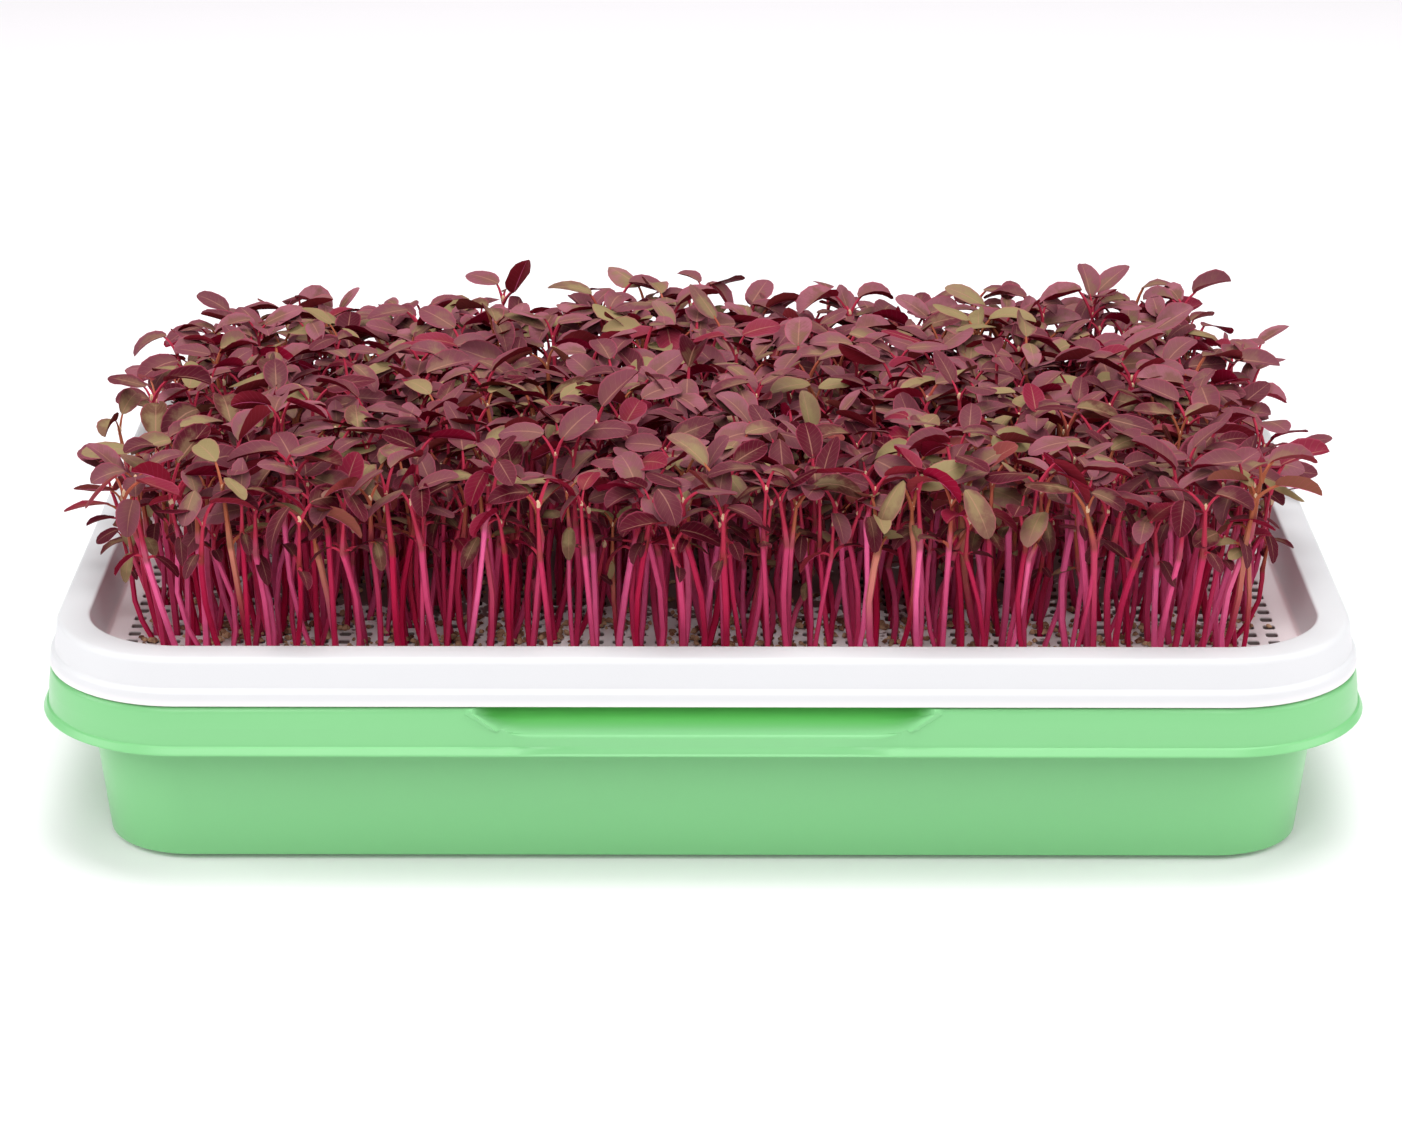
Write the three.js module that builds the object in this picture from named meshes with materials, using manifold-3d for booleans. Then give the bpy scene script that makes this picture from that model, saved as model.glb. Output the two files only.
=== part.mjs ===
// Microgreens tray: red amaranth seedlings growing through a perforated seed tray that stands in
// a water tray. Millimetres, +Z up, +X along the long side, the front towards -Y. The origin is
// the middle of the water tray's footprint, on the surface that it stands on.

import * as THREE from 'three';
import Module from 'manifold-3d';

const wasm = await Module();
wasm.setup();
const { Manifold, Mesh: SolidMesh } = wasm;

// ---------------------------------------------------------------- driving dimensions

// Every level of both trays is a rounded rectangle round the same four corner centres, so a
// level is given by its offset from them: half width = CORNER_X + offset, corner radius = offset.
const CORNER_X = 131.5;
const CORNER_Y = 86.5;
const CORNER_STEPS = 5;

// The water tray's wall, as [offset, height], from its underside out and up the outside, over the
// rim and down the inside to its floor. Where a level has a recess value, that is the same level
// in the finger recess in the middle of each long side.
const WATER_TRAY_LEVELS = [
  { at: [21.6, 0] },
  { at: [22.7, 1.4] },
  { at: [26.5, 35] },
  { at: [27.4, 43.6] },
  { at: [29.2, 45.5] },
  { at: [34.0, 45.5], recess: [29.6, 45.5] },
  { at: [35.3, 44.4], recess: [30.6, 42.6] },
  { at: [36.4, 38.0], recess: [35.4, 39.2] },
  { at: [36.8, 35.7], recess: [36.8, 35.7] },
  { at: [38.5, 35.7], recess: [38.5, 35.7] },
  { at: [38.5, 37.9], recess: [38.4, 37.9] },
  { at: [37.3, 38.5], recess: [38.0, 40.4] },
  { at: [36.9, 42.5], recess: [34.6, 42.2] },
  { at: [36.3, 46.4], recess: [32.2, 45.8] },
  { at: [34.9, 47.7], recess: [31.6, 47.7] },
  { at: [28.6, 47.7] },
  { at: [27.2, 45.6] },
  { at: [25.4, 43.4] },
  { at: [24.5, 35] },
  { at: [20.9, 3.2] },
  { at: [19.8, 2.2] },
];
const RECESS_HALF_TOP = 57;
const RECESS_HALF_BOTTOM = 50;
const RECESS_END = 3;
const RECESS_LOW = 40.4;
const RIM_TOP = 47.7;

// The seed tray, the same way: underside, hollow rim, outer face with its flange, top, inner
// wall and floor. It rests by its flange on the water tray's rim.
const FLOOR_TOP = 47.5;
const FLOOR_UNDERSIDE = 45.5;
const SEED_TRAY_LEVELS = [
  { at: [25.2, FLOOR_UNDERSIDE] },
  { at: [27.3, 58.2] },
  { at: [31.8, 58.2] },
  { at: [33.2, 51.9] },
  { at: [34.5, 48.1] },
  { at: [36.4, 48.1] },
  { at: [36.3, 51.2] },
  { at: [35.0, 52.3] },
  { at: [34.1, 58.4] },
  { at: [32.4, 60.1] },
  { at: [26.4, 60.4] },
  { at: [25.5, 59.6] },
  { at: [23.7, FLOOR_TOP] },
];
const HOLE_SIZE = 3.2;
const HOLE_PITCH = 5.5;
const HOLE_CUT = 6;

// The water stands in the water tray up to the underside of the root mat.
const WATER_LEVEL = 36.8;
const WATER_FLOOR = 2.6;
const TOUCH_GAP = 0.3;

// The bed of plants: bunches of two side by side, each bunch with its share of the root mat.
const BUNCH_COLUMNS = 6;
const BUNCH_ROWS = 9;
const BED_HALF_X = 146;
const BED_HALF_Y = 101;
const EDGE_MARGIN = 7;
const CANOPY_HALF_X = 162;
const CANOPY_HALF_Y = 117;
const CANOPY_LOW = 76;
const CANOPY_HIGH = 108;
const ROOT_TAPER = 4;

// The levels of a stem that carry leaves, which are drawn out of the stem's sides between this
// level and the next.
const LOWER_NODE = 2;
const UPPER_NODE = 4;
const STEM_RADIUS = 1.15;
const STEM_SUNK = 2;
const STEM_STRAIGHT_TOP = 50;
const NODE_HEIGHT = 84;
const SHOOT_HEIGHT = 98;
const CANOPY_FALL = 6;
const OUTWARD_LEAN = 9;
const RANDOM_LEAN = 6;

const LEAF_LENGTH = 25;
const LEAF_WIDTH = 14;
const LEAF_THICKNESS = 1.2;
const STALK_HEIGHT = 1.3;

// Where a plant's leaves grow: a pair at the top, then a lower pair across it, then one more.
const LEAF_PLACES = [
  { node: UPPER_NODE, side: 0, rise: 0.3, scale: 1 },
  { node: UPPER_NODE, side: 2, rise: 0.3, scale: 1 },
  { node: LOWER_NODE, side: 0, rise: 0.1, scale: 0.95 },
  { node: LOWER_NODE, side: 2, rise: 0.1, scale: 0.95 },
  { node: UPPER_NODE, side: 1, rise: 0.2, scale: 0.9 },
];
const LEAF_TRIES = 40;
const SEED = 20260411;

// ---------------------------------------------------------------- colours

const paint = (color, roughness, opacity = 1) =>
  new THREE.MeshStandardMaterial({ color, roughness, metalness: 0, opacity, transparent: opacity < 1 });
const GREEN_PLASTIC = paint(0x8fdc9c, 0.42);
const WHITE_PLASTIC = paint(0xf6f6f8, 0.38);
const WATER = paint(0xcfe3e8, 0.08, 0.5);
const GREENS = paint(0x7d3550, 0.6);

// ---------------------------------------------------------------- solids and meshes

function solidFrom(points, faces) {
  const mesh = new SolidMesh({
    numProp: 3,
    vertProperties: new Float32Array(points.flat()),
    triVerts: new Uint32Array(faces.flat()),
  });
  return new Manifold(mesh);
}

function meshFrom(name, solid, material) {
  const { vertProperties, triVerts } = solid.getMesh();
  const geometry = new THREE.BufferGeometry();
  geometry.setAttribute('position', new THREE.BufferAttribute(vertProperties, 3));
  geometry.setIndex(new THREE.BufferAttribute(triVerts, 1));
  geometry.computeVertexNormals();
  const mesh = new THREE.Mesh(geometry, material);
  mesh.name = name;
  return mesh;
}

const fuse = (solids) => solids.reduce((sum, solid) => sum.add(solid));

// Rings of equal point counts joined into a closed skin, with a flat cap on the first and last.
function skinRings(rings) {
  const count = rings[0].length;
  const points = rings.flat();
  const faces = [];
  for (let level = 0; level + 1 < rings.length; level += 1) {
    for (let i = 0; i < count; i += 1) {
      const a = level * count + i;
      const b = level * count + ((i + 1) % count);
      faces.push([a, b, b + count], [a, b + count, a + count]);
    }
  }
  const last = (rings.length - 1) * count;
  for (let i = 1; i + 1 < count; i += 1) {
    faces.push([0, i + 1, i], [last, last + i, last + i + 1]);
  }
  return solidFrom(points, faces);
}

// ---------------------------------------------------------------- the two trays

const mix = (a, b, t) => a + (b - a) * t;

// A level of a tray, anticlockwise from its right side. Both long sides of the water tray have
// four points more, where the finger recess begins and ends.
function trayRing({ at, recess = at }, hasRecess) {
  const [offset, height] = at;
  const [recessOffset, recessHeight] = recess;
  const depth = Math.min(Math.max((height - RECESS_LOW) / (RIM_TOP - RECESS_LOW), 0), 1);
  const outer = mix(RECESS_HALF_BOTTOM, RECESS_HALF_TOP, depth);
  const ring = [];
  for (const [sideX, sideY] of [[1, 1], [-1, 1], [-1, -1], [1, -1]]) {
    const start = Math.atan2(sideY, sideX) - Math.PI / 4;
    for (let step = 0; step <= CORNER_STEPS; step += 1) {
      const angle = start + (step / CORNER_STEPS) * (Math.PI / 2);
      const x = sideX * CORNER_X + offset * Math.cos(angle);
      const y = sideY * CORNER_Y + offset * Math.sin(angle);
      ring.push([x, y, height]);
    }
    if (hasRecess && sideX === sideY) {
      const recessY = sideY * (CORNER_Y + recessOffset);
      ring.push([sideX * outer, sideY * (CORNER_Y + offset), height]);
      ring.push([sideX * (outer - RECESS_END), recessY, recessHeight]);
      ring.push([-sideX * (outer - RECESS_END), recessY, recessHeight]);
      ring.push([-sideX * outer, sideY * (CORNER_Y + offset), height]);
    }
  }
  return ring;
}

function trayShell(levels, hasRecess = false) {
  return skinRings(levels.map((level) => trayRing(level, hasRecess)));
}

function boxSolid(width, depth, height, x, y, z) {
  const points = [];
  for (const dz of [-height / 2, height / 2]) {
    for (const dy of [-depth / 2, depth / 2]) {
      for (const dx of [-width / 2, width / 2]) points.push([x + dx, y + dy, z + dz]);
    }
  }
  const faces = [
    [0, 2, 3], [0, 3, 1], [4, 5, 7], [4, 7, 6], [0, 1, 5], [0, 5, 4],
    [2, 6, 7], [2, 7, 3], [0, 4, 6], [0, 6, 2], [1, 3, 7], [1, 7, 5],
  ];
  return solidFrom(points, faces);
}

function makeSeedTray(plants) {
  const middle = (FLOOR_TOP + FLOOR_UNDERSIDE) / 2;
  const holes = plants.map(({ levels: [{ x, y }] }) => {
    return boxSolid(HOLE_SIZE, HOLE_SIZE, HOLE_CUT, x, y, middle);
  });
  return trayShell(SEED_TRAY_LEVELS).subtract(fuse(holes));
}

// ---------------------------------------------------------------- water and roots

// One bunch's share of the root mat, which lies on the water under the seed tray.
function rootBlock({ x, y, halfX, halfY }) {
  const levels = [
    { z: WATER_LEVEL + TOUCH_GAP, inset: ROOT_TAPER },
    { z: FLOOR_UNDERSIDE - TOUCH_GAP, inset: 0 },
  ];
  const rings = levels.map(({ z, inset }) => {
    const dx = halfX - inset;
    const dy = halfY - inset;
    return [[x + dx, y + dy, z], [x - dx, y + dy, z], [x - dx, y - dy, z], [x + dx, y - dy, z]];
  });
  return skinRings(rings);
}

// The water fills the tray to its level, just clear of the floor, the bottom curve and the wall.
function makeWater() {
  return trayShell([
    { at: [19.6, WATER_FLOOR] },
    { at: [20.6, 3.8] },
    { at: [24.2, 35] },
    { at: [24.4, WATER_LEVEL] },
  ]);
}

// ---------------------------------------------------------------- plants

// A small seeded generator, so that the bed always grows the same.
function randomFrom(seed) {
  let state = seed;
  return () => {
    state = (state + 0x6d2b79f5) | 0;
    let t = Math.imul(state ^ (state >>> 15), 1 | state);
    t = (t + Math.imul(t ^ (t >>> 7), 61 | t)) ^ t;
    return ((t ^ (t >>> 14)) >>> 0) / 4294967296;
  };
}
const random = randomFrom(SEED);
const spread = (amount) => (random() * 2 - 1) * amount;
const toHole = (place) => Math.round(place / HOLE_PITCH) * HOLE_PITCH;

function layOutBunches() {
  const halfX = BED_HALF_X / BUNCH_COLUMNS;
  const halfY = BED_HALF_Y / BUNCH_ROWS;
  const bunches = [];
  for (let row = 0; row < BUNCH_ROWS; row += 1) {
    for (let column = 0; column < BUNCH_COLUMNS; column += 1) {
      const x = (2 * column + 1) * halfX - BED_HALF_X;
      const y = (2 * row + 1) * halfY - BED_HALF_Y;
      const plants = [-1, 1].map((side) => layOutPlant(x + side * halfX / 2, y, halfX / 2, halfY));
      bunches.push({ x, y, halfX: halfX - TOUCH_GAP, halfY: halfY - TOUCH_GAP, plants });
    }
  }
  return bunches;
}

// Plants stand in holes of the tray's grid, out to the bed's edge, and lean outwards there.
function layOutPlant(cellX, cellY, halfX, halfY) {
  const stretch = (cell, half, bed) => cell * (bed - EDGE_MARGIN) / (bed - half);
  const x = toHole(stretch(cellX, halfX, BED_HALF_X) + spread(2));
  const y = toHole(stretch(cellY, halfY, BED_HALF_Y) + spread(2));
  const fall = CANOPY_FALL * (y / BED_HALF_Y + 1) / 2;
  const leanX = OUTWARD_LEAN * (x / BED_HALF_X) ** 3 + spread(RANDOM_LEAN);
  const leanY = OUTWARD_LEAN * (y / BED_HALF_Y) ** 3 + spread(RANDOM_LEAN);
  const node = NODE_HEIGHT - fall + spread(3);
  const shoot = SHOOT_HEIGHT - fall + spread(4);
  const turn = random() * Math.PI;
  const level = (z, lean, angle) => ({ x: x + leanX * lean, y: y + leanY * lean, z, angle });
  return {
    leaves: [],
    levels: [
      level(FLOOR_UNDERSIDE - TOUCH_GAP - STEM_SUNK, 0, 0),
      level(STEM_STRAIGHT_TOP, 0, 0),
      level(node, 0.8, turn),
      level(node + STALK_HEIGHT, 0.8, turn),
      level(shoot, 1, turn + Math.PI / 4),
      level(shoot + STALK_HEIGHT, 1, turn + Math.PI / 4),
    ],
  };
}

function stemRing({ x, y, z, angle }, grow) {
  const radius = STEM_RADIUS + grow;
  return [0, 1, 2, 3].map((corner) => {
    const turn = angle + corner * Math.PI / 2;
    return [x + radius * Math.cos(turn), y + radius * Math.sin(turn), z];
  });
}

// A leaf's blade without its foot: two shoulders, two widest points, the midrib's top and
// underside, and the tip. The blade is dished and its tip hangs.
function bladePoints({ plant, node, side, swing, rise, roll, scale }, grow = 0) {
  const { x, y, z, angle } = plant.levels[node];
  const azimuth = angle + (side + 0.5) * Math.PI / 2 + swing;
  const length = LEAF_LENGTH * scale + grow;
  const half = LEAF_WIDTH * scale / 2 + grow;
  const thick = LEAF_THICKNESS / 2 + grow;
  const dish = half * 0.15;
  const sag = length * 0.14;
  const root = new THREE.Vector3(x, y, z + STALK_HEIGHT / 2);
  const turn = new THREE.Euler(roll, -rise, azimuth, 'ZYX');
  const local = [
    [length * 0.37, -half * 0.84, dish],
    [length * 0.37, half * 0.84, dish],
    [length * 0.71, -half, dish - sag * 0.4],
    [length * 0.71, half, dish - sag * 0.4],
    [length * 0.58, 0, thick - dish],
    [length * 0.58, 0, -thick - dish],
    [length, 0, -sag],
  ];
  return local.map((point) => new THREE.Vector3(...point).applyEuler(turn).add(root).toArray());
}

// The blade's faces, from the four corners of its foot (low left, low right, high right, high
// left, seen from the tip) to the seven blade points, which start at index first.
function bladeFaces([lowLeft, lowRight, highRight, highLeft], first) {
  const [left, right, wideLeft, wideRight, top, under, tip] = [0, 1, 2, 3, 4, 5, 6]
    .map((point) => first + point);
  const upper = [highLeft, left, wideLeft, tip, wideRight, right, highRight, highLeft];
  const lower = [lowLeft, left, wideLeft, tip, wideRight, right, lowRight, lowLeft];
  const faces = [[lowLeft, left, highLeft], [lowRight, highRight, right]];
  for (let i = 0; i + 1 < upper.length; i += 1) {
    faces.push([top, upper[i], upper[i + 1]], [under, lower[i + 1], lower[i]]);
  }
  return faces;
}

// A plant is one skin: the stem's rings, where some sides of a node open out into leaves.
function plantSolid({ levels, leaves }) {
  const points = levels.flatMap((level) => stemRing(level, 0));
  const last = points.length - 4;
  const faces = [[0, 2, 1], [0, 3, 2], [last, last + 1, last + 2], [last, last + 2, last + 3]];
  for (let level = 0; level + 1 < levels.length; level += 1) {
    for (let side = 0; side < 4; side += 1) {
      const low = level * 4 + side;
      const lowNext = level * 4 + (side + 1) % 4;
      const leaf = leaves.find((other) => other.node === level && other.side === side);
      if (leaf) {
        faces.push(...bladeFaces([low, lowNext, lowNext + 4, low + 4], points.length));
        points.push(...bladePoints(leaf));
      } else {
        faces.push([low, lowNext, lowNext + 4], [low, lowNext + 4, low + 4]);
      }
    }
  }
  return solidFrom(points, faces);
}

// One leaf alone, grown on all sides by the gap that it has to keep.
function leafSolid(leaf, grow) {
  const { node, side, plant } = leaf;
  const low = stemRing(plant.levels[node], grow);
  const high = stemRing(plant.levels[node + 1], grow);
  const next = (side + 1) % 4;
  const foot = [low[side], low[next], high[next], high[side]];
  const faces = [...bladeFaces([0, 1, 2, 3], 4), [0, 2, 1], [0, 3, 2]];
  return solidFrom([...foot, ...bladePoints(leaf, grow)], faces);
}

// A new leaf stays inside the canopy and clear of all other plants and of its own plant's leaves.
function isClear(solid, standing, plant) {
  const box = solid.boundingBox();
  if (Math.max(-box.min[0], box.max[0]) > CANOPY_HALF_X) return false;
  if (Math.max(-box.min[1], box.max[1]) > CANOPY_HALF_Y) return false;
  if (box.min[2] < CANOPY_LOW || box.max[2] > CANOPY_HIGH) return false;
  return standing.every((other) => {
    if (other.isStem && other.plant === plant) return true;
    const apart = [0, 1, 2].some((axis) =>
      other.box.min[axis] > box.max[axis] || other.box.max[axis] < box.min[axis]);
    return apart || solid.intersect(other.solid).isEmpty();
  });
}

// Leaves are tried at drawn angles, the highest first, and each stays where it clears the rest.
function growLeaves(plants) {
  const standing = plants.map((plant) => {
    const solid = plantSolid(plant);
    return { solid, box: solid.boundingBox(), plant, isStem: true };
  });
  for (const { node, side, rise, scale } of LEAF_PLACES) {
    for (const plant of plants) {
      for (let attempt = 0; attempt < LEAF_TRIES; attempt += 1) {
        const leaf = {
          plant,
          node,
          side,
          swing: spread(0.5),
          rise: rise + spread(0.45),
          roll: spread(0.4),
          scale: scale * (1.08 - attempt * 0.012),
        };
        if (!isClear(leafSolid(leaf, TOUCH_GAP), standing, plant)) continue;
        const solid = leafSolid(leaf, 0);
        standing.push({ solid, box: solid.boundingBox(), plant, isStem: false });
        plant.leaves.push(leaf);
        break;
      }
    }
  }
}

// ---------------------------------------------------------------- the whole object

const bunches = layOutBunches();
const plants = bunches.flatMap((bunch) => bunch.plants);
growLeaves(plants);

const microgreensTray = new THREE.Group();
microgreensTray.add(meshFrom('water_tray', trayShell(WATER_TRAY_LEVELS, true), GREEN_PLASTIC));
microgreensTray.add(meshFrom('seed_tray', makeSeedTray(plants), WHITE_PLASTIC));
microgreensTray.add(meshFrom('water', makeWater(), WATER));
bunches.forEach((bunch, index) => {
  const solid = fuse([rootBlock(bunch), ...bunch.plants.map(plantSolid)]);
  const number = String(index + 1).padStart(2, '0');
  microgreensTray.add(meshFrom(`greens_bunch_${number}`, solid, GREENS));
});

export default microgreensTray;
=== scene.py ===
"""Looks of the microgreens tray: two moulded trays and a bed of red amaranth seedlings.

The scene is in metres, in the frame of the CAD model: +X along the long side, the front
towards -Y, +Z up, the origin on the standing surface under the middle of the tray. The values
of trays and plants are millimetres, which make_mesh turns into metres, and angles are radians.
"""

import math

import bmesh
import bpy
import numpy as np
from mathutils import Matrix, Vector
from mathutils.geometry import tessellate_polygon


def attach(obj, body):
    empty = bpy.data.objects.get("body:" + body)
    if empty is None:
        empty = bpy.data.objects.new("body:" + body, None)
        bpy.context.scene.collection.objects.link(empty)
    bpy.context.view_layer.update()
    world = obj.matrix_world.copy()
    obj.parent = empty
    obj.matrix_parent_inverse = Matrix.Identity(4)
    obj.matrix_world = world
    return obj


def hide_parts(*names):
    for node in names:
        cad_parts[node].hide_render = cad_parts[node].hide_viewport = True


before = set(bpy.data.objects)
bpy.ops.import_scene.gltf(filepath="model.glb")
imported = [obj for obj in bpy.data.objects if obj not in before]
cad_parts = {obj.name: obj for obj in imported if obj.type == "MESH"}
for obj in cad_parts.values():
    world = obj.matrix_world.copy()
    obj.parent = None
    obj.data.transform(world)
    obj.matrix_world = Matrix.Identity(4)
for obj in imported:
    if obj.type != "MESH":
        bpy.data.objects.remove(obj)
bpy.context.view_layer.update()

MM = 0.001
rng = np.random.default_rng(41)

# ------------------------------------------------------------------ trays

# Both trays are rounded rectangles round the same corner centres, at an offset for each level.
CORNER_X = 131.5
CORNER_Y = 86.5
CORNER_STEPS = 18
FILLET_STEPS = 5
# The four corners in turn, anticlockwise, as signs of x and y.
QUADRANTS = ((1, 1), (-1, 1), (-1, -1), (1, -1))

# Levels as (offset, height, fillet radius), in millimetres.
WATER_TRAY = [
    (16.0, 0.0, 0.0), (17.6, 0.0, 0.3), (22.9, 1.7, 0.4), (26.5, 35.0, 0.0), (27.4, 45.5, 1.2),
    (35.0, 45.5, 1.4), (36.6, 37.6, 0.4), (36.9, 35.7, 0.3), (38.7, 35.7, 0.3),
    (38.5, 36.2, 0.2), (37.75, 37.5, 0.3), (37.2, 37.8, 0.2), (36.97, 41.4, 0.3),
    (36.9, 42.4, 0.3), (36.2, 47.7, 1.6),
    (28.0, 47.7, 0.7), (25.4, 43.2, 1.0), (24.5, 35.0, 0.0), (20.9, 2.2, 3.0), (12.0, 2.2, 0.0),
]
# The same levels inside the finger recess.
WATER_TRAY_RECESS = [
    (16.0, 0.0, 0.0), (17.6, 0.0, 0.3), (22.9, 1.7, 0.4), (26.5, 35.0, 0.0), (27.4, 45.5, 0.3),
    (28.4, 45.5, 0.3), (35.2, 38.4, 0.4), (36.9, 35.7, 0.3), (38.7, 35.7, 0.3),
    (38.2, 36.4, 0.3), (38.0, 37.7, 0.3), (37.95, 38.3, 0.3), (38.25, 41.4, 1.0),
    (36.0, 41.6, 0.5), (30.4, 47.7, 0.4),
    (28.0, 47.7, 0.7), (25.4, 43.2, 1.0), (24.5, 35.0, 0.0), (20.9, 2.2, 3.0), (12.0, 2.2, 0.0),
]
# The recess is a concave scoop from its top edge down to its foot, as (offset, height). It lies
# between a quarter of an ellipse, at flatness 0, and a plain slope, at flatness 1.
SCOOP_TOP = (30.4, 47.7)
SCOOP_FOOT = (37.2, 41.5)
SCOOP_FLATNESS = 0.6
# The profile's points that the scoop replaces.
SCOOP_RINGS = slice(57, 67)
# Half the length of the recess at its foot and further up, and the heights of both.
RECESS_HALF = (49.8, 58.0)
RECESS_HEIGHTS = (41.2, 46.0)
# Where the recess ends, with a bead round its edge: distance past the edge, and the share of the
# scoop's depth that the wall is pressed in there.
RECESS_ENDS = [
    (-9.0, 1.0), (-7.0, 0.96), (-5.0, 0.84), (-3.6, 0.62), (-2.6, 0.42),
    (-1.8, 0.19), (-1.1, -0.05), (-0.4, -0.22), (0.4, -0.19), (1.7, 0.0),
]
# How many times longer those ends are below the foot, where the wall runs out gently.
FOOT_STRETCH = 2.5
# Where the straight middle of the recess has points.
RECESS_MIDDLE = (20.0, 0.0, -20.0)

FLOOR_TOP = 47.5
FLOOR_UNDERSIDE = 45.5
SEED_TRAY = [
    (25.3, FLOOR_UNDERSIDE, 0.0), (27.2, 58.4, 1.0), (32.1, 58.4, 1.0), (33.3, 51.4, 0.4),
    (34.4, 48.1, 0.3), (36.5, 48.1, 0.6), (36.0, 51.7, 1.5), (34.9, 52.5, 0.6),
    (34.0, 60.1, 2.0), (25.6, 60.5, 0.9), (23.7, FLOOR_TOP, 0.9), (22.6, FLOOR_TOP, 0.0),
]
# The floor's square holes, with cut corners.
HOLE_PITCH = 5.5
HOLE_HALF = 1.6
HOLE_CORNER = 0.55
GRID_COLUMNS = 55
GRID_ROWS = 39
# The level's offset that the outermost holes' cells stay inside.
GRID_OFFSET = 21.2


def rounded_profile(levels):
    """The levels with an arc of FILLET_STEPS points in place of every corner with a radius."""
    points = []
    for index, (offset, height, radius) in enumerate(levels):
        here = np.array([offset, height])
        if radius == 0.0:
            points.append(here)
            continue
        before = np.array(levels[index - 1][:2]) - here
        after = np.array(levels[index + 1][:2]) - here
        room = min(np.linalg.norm(before), np.linalg.norm(after)) * 0.49
        before /= np.linalg.norm(before)
        after /= np.linalg.norm(after)
        half_angle = math.acos(np.clip(before @ after, -1, 1)) / 2
        reach = min(radius / math.tan(half_angle), room)
        for step in np.linspace(0, 1, FILLET_STEPS):
            start = here + before * reach * (1 - step)
            end = here + after * reach * step
            points.append(start * (1 - step) + end * step)
    return np.array(points)


def tray_ring(offset, height, recess=None):
    """One level of a tray as a closed ring of points, anticlockwise from its right side."""
    ring = []
    for side_x, side_y in QUADRANTS:
        start = math.atan2(side_y, side_x) - math.pi / 4
        for angle in start + np.linspace(0, math.pi / 2, CORNER_STEPS + 1):
            x = side_x * CORNER_X + offset * math.cos(angle)
            y = side_y * CORNER_Y + offset * math.sin(angle)
            ring.append((x, y, height))
        if recess is not None and side_x == side_y:
            depth = np.clip(np.interp(height, RECESS_HEIGHTS, (0, 1)), 0, 1)
            edge = RECESS_HALF[0] + (RECESS_HALF[1] - RECESS_HALF[0]) * depth
            # The bead stands out only where the recess goes in.
            least = 0.0 if recess[0] > offset else -1.0
            stretch = FOOT_STRETCH if height < RECESS_HEIGHTS[0] else 1.0
            ends = [(edge + past * stretch, max(pressed, least)) for past, pressed in RECESS_ENDS]
            run = [(side_x * x, pressed) for x, pressed in reversed(ends)]
            run += [(side_x * x, 1.0) for x in RECESS_MIDDLE]
            run += [(-side_x * x, pressed) for x, pressed in ends]
            for x, pressed in run:
                here = offset + (recess[0] - offset) * pressed
                z = height + (recess[1] - height) * pressed
                ring.append((x, side_y * (CORNER_Y + here), z))
    return ring


def loft(rings):
    """Quads between rings of equal point counts."""
    count = len(rings[0])
    points = np.concatenate([np.array(ring) for ring in rings])
    low = (np.arange(len(rings) - 1)[:, None] * count + np.arange(count)).ravel()
    low_next = (np.arange(len(rings) - 1)[:, None] * count + (np.arange(count) + 1) % count).ravel()
    quads = np.stack([low, low_next, low_next + count, low + count], axis=1)
    return points, quads.tolist()


def make_mesh(name, points, faces, sharp_angle=35.0):
    """A mesh object from points in millimetres, smooth but for edges sharper than the angle."""
    mesh = bpy.data.meshes.new(name)
    mesh.from_pydata(np.asarray(points, dtype=np.float32) * MM, [], faces)
    mesh.update()
    mesh.shade_smooth()
    mesh.set_sharp_from_angle(angle=math.radians(sharp_angle))
    piece = bpy.data.objects.new(name, mesh)
    bpy.context.scene.collection.objects.link(piece)
    return piece


def merge_doubles(piece, distance=0.02 * MM):
    """Welds points that coincide, drops faces without an area and turns all faces outwards."""
    work = bmesh.new()
    work.from_mesh(piece.data)
    bmesh.ops.remove_doubles(work, verts=work.verts, dist=distance)
    bmesh.ops.dissolve_degenerate(work, edges=work.edges, dist=distance / 10)
    bmesh.ops.recalc_face_normals(work, faces=work.faces)
    work.to_mesh(piece.data)
    work.free()
    piece.data.set_sharp_from_angle(angle=math.radians(35.0))


def scoop(count):
    """The scoop's profile from its foot to its top, as (offset, height)."""
    turn = np.linspace(0, math.pi / 2, count)
    inward = np.sin(turn) * (1 - SCOOP_FLATNESS) + SCOOP_FLATNESS * turn / (math.pi / 2)
    rise = (1 - np.cos(turn)) * (1 - SCOOP_FLATNESS) + SCOOP_FLATNESS * turn / (math.pi / 2)
    foot, top = np.array(SCOOP_FOOT), np.array(SCOOP_TOP)
    return foot + (top - foot) * np.column_stack([inward, rise])


def water_tray():
    """The green lower tray, with a finger recess in the middle of both long sides."""
    plain = rounded_profile(WATER_TRAY)
    pressed = rounded_profile(WATER_TRAY_RECESS)
    pressed[SCOOP_RINGS] = scoop(SCOOP_RINGS.stop - SCOOP_RINGS.start)
    rings = [tray_ring(o, z, recess) for (o, z), recess in zip(plain, pressed)]
    points, faces = loft(rings)
    count = len(rings[0])
    faces.append(list(range(count))[::-1])
    faces.append(list(range(len(points) - count, len(points))))
    piece = make_mesh("water_tray_body", points, faces)
    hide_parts("water_tray")
    # The green plastic carries the painted shade of the finger recess.
    piece.data.materials.append(plastic("green_plastic_moulded", GREEN, 0.30, shade=RECESS_PAINTED_SHADE))
    return piece


def hole_cells():
    """Column and row of every hole that fits inside the floor's rounded outline."""
    cells = []
    for column in range(GRID_COLUMNS):
        for row in range(GRID_ROWS):
            x = (column - (GRID_COLUMNS - 1) / 2) * HOLE_PITCH
            y = (row - (GRID_ROWS - 1) / 2) * HOLE_PITCH
            past_x = max(abs(x) + HOLE_PITCH / 2 - CORNER_X, 0)
            past_y = max(abs(y) + HOLE_PITCH / 2 - CORNER_Y, 0)
            if math.hypot(past_x, past_y) < GRID_OFFSET:
                cells.append((x, y))
    return cells


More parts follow.
